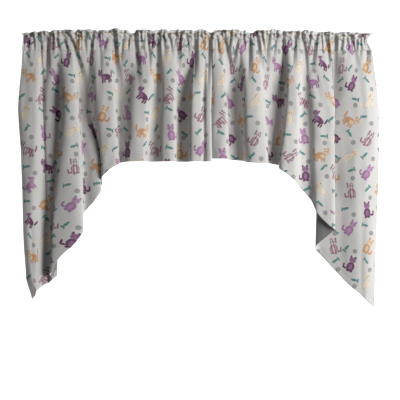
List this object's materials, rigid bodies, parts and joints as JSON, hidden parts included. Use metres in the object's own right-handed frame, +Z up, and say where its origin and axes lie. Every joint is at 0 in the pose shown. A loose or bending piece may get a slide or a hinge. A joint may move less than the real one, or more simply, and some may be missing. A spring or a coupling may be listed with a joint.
{
  "type": "window swag",
  "caption": "Gathered cloth window swag hung as two panels side by side, with a ruffled heading, a rod pocket, a level middle hem and long slanted tails.",
  "frame": {"origin": "middle of the top edge, over the rod's line, where the pair hangs from its rod", "axes": "+X along the rod to the viewer's right, +Y towards the wall, +Z up, so the printed front faces -Y"},
  "size_m": [1.2591, 0.0673, 0.9723],
  "materials": {
    "printed_cloth": "smooth plain weave, printed on its front with small scattered motifs"
  },
  "bodies": {
    "root": {"left_heading": "printed_cloth", "left_swag": "printed_cloth", "right_heading": "printed_cloth", "right_swag": "printed_cloth"}
  },
  "joints": []
}
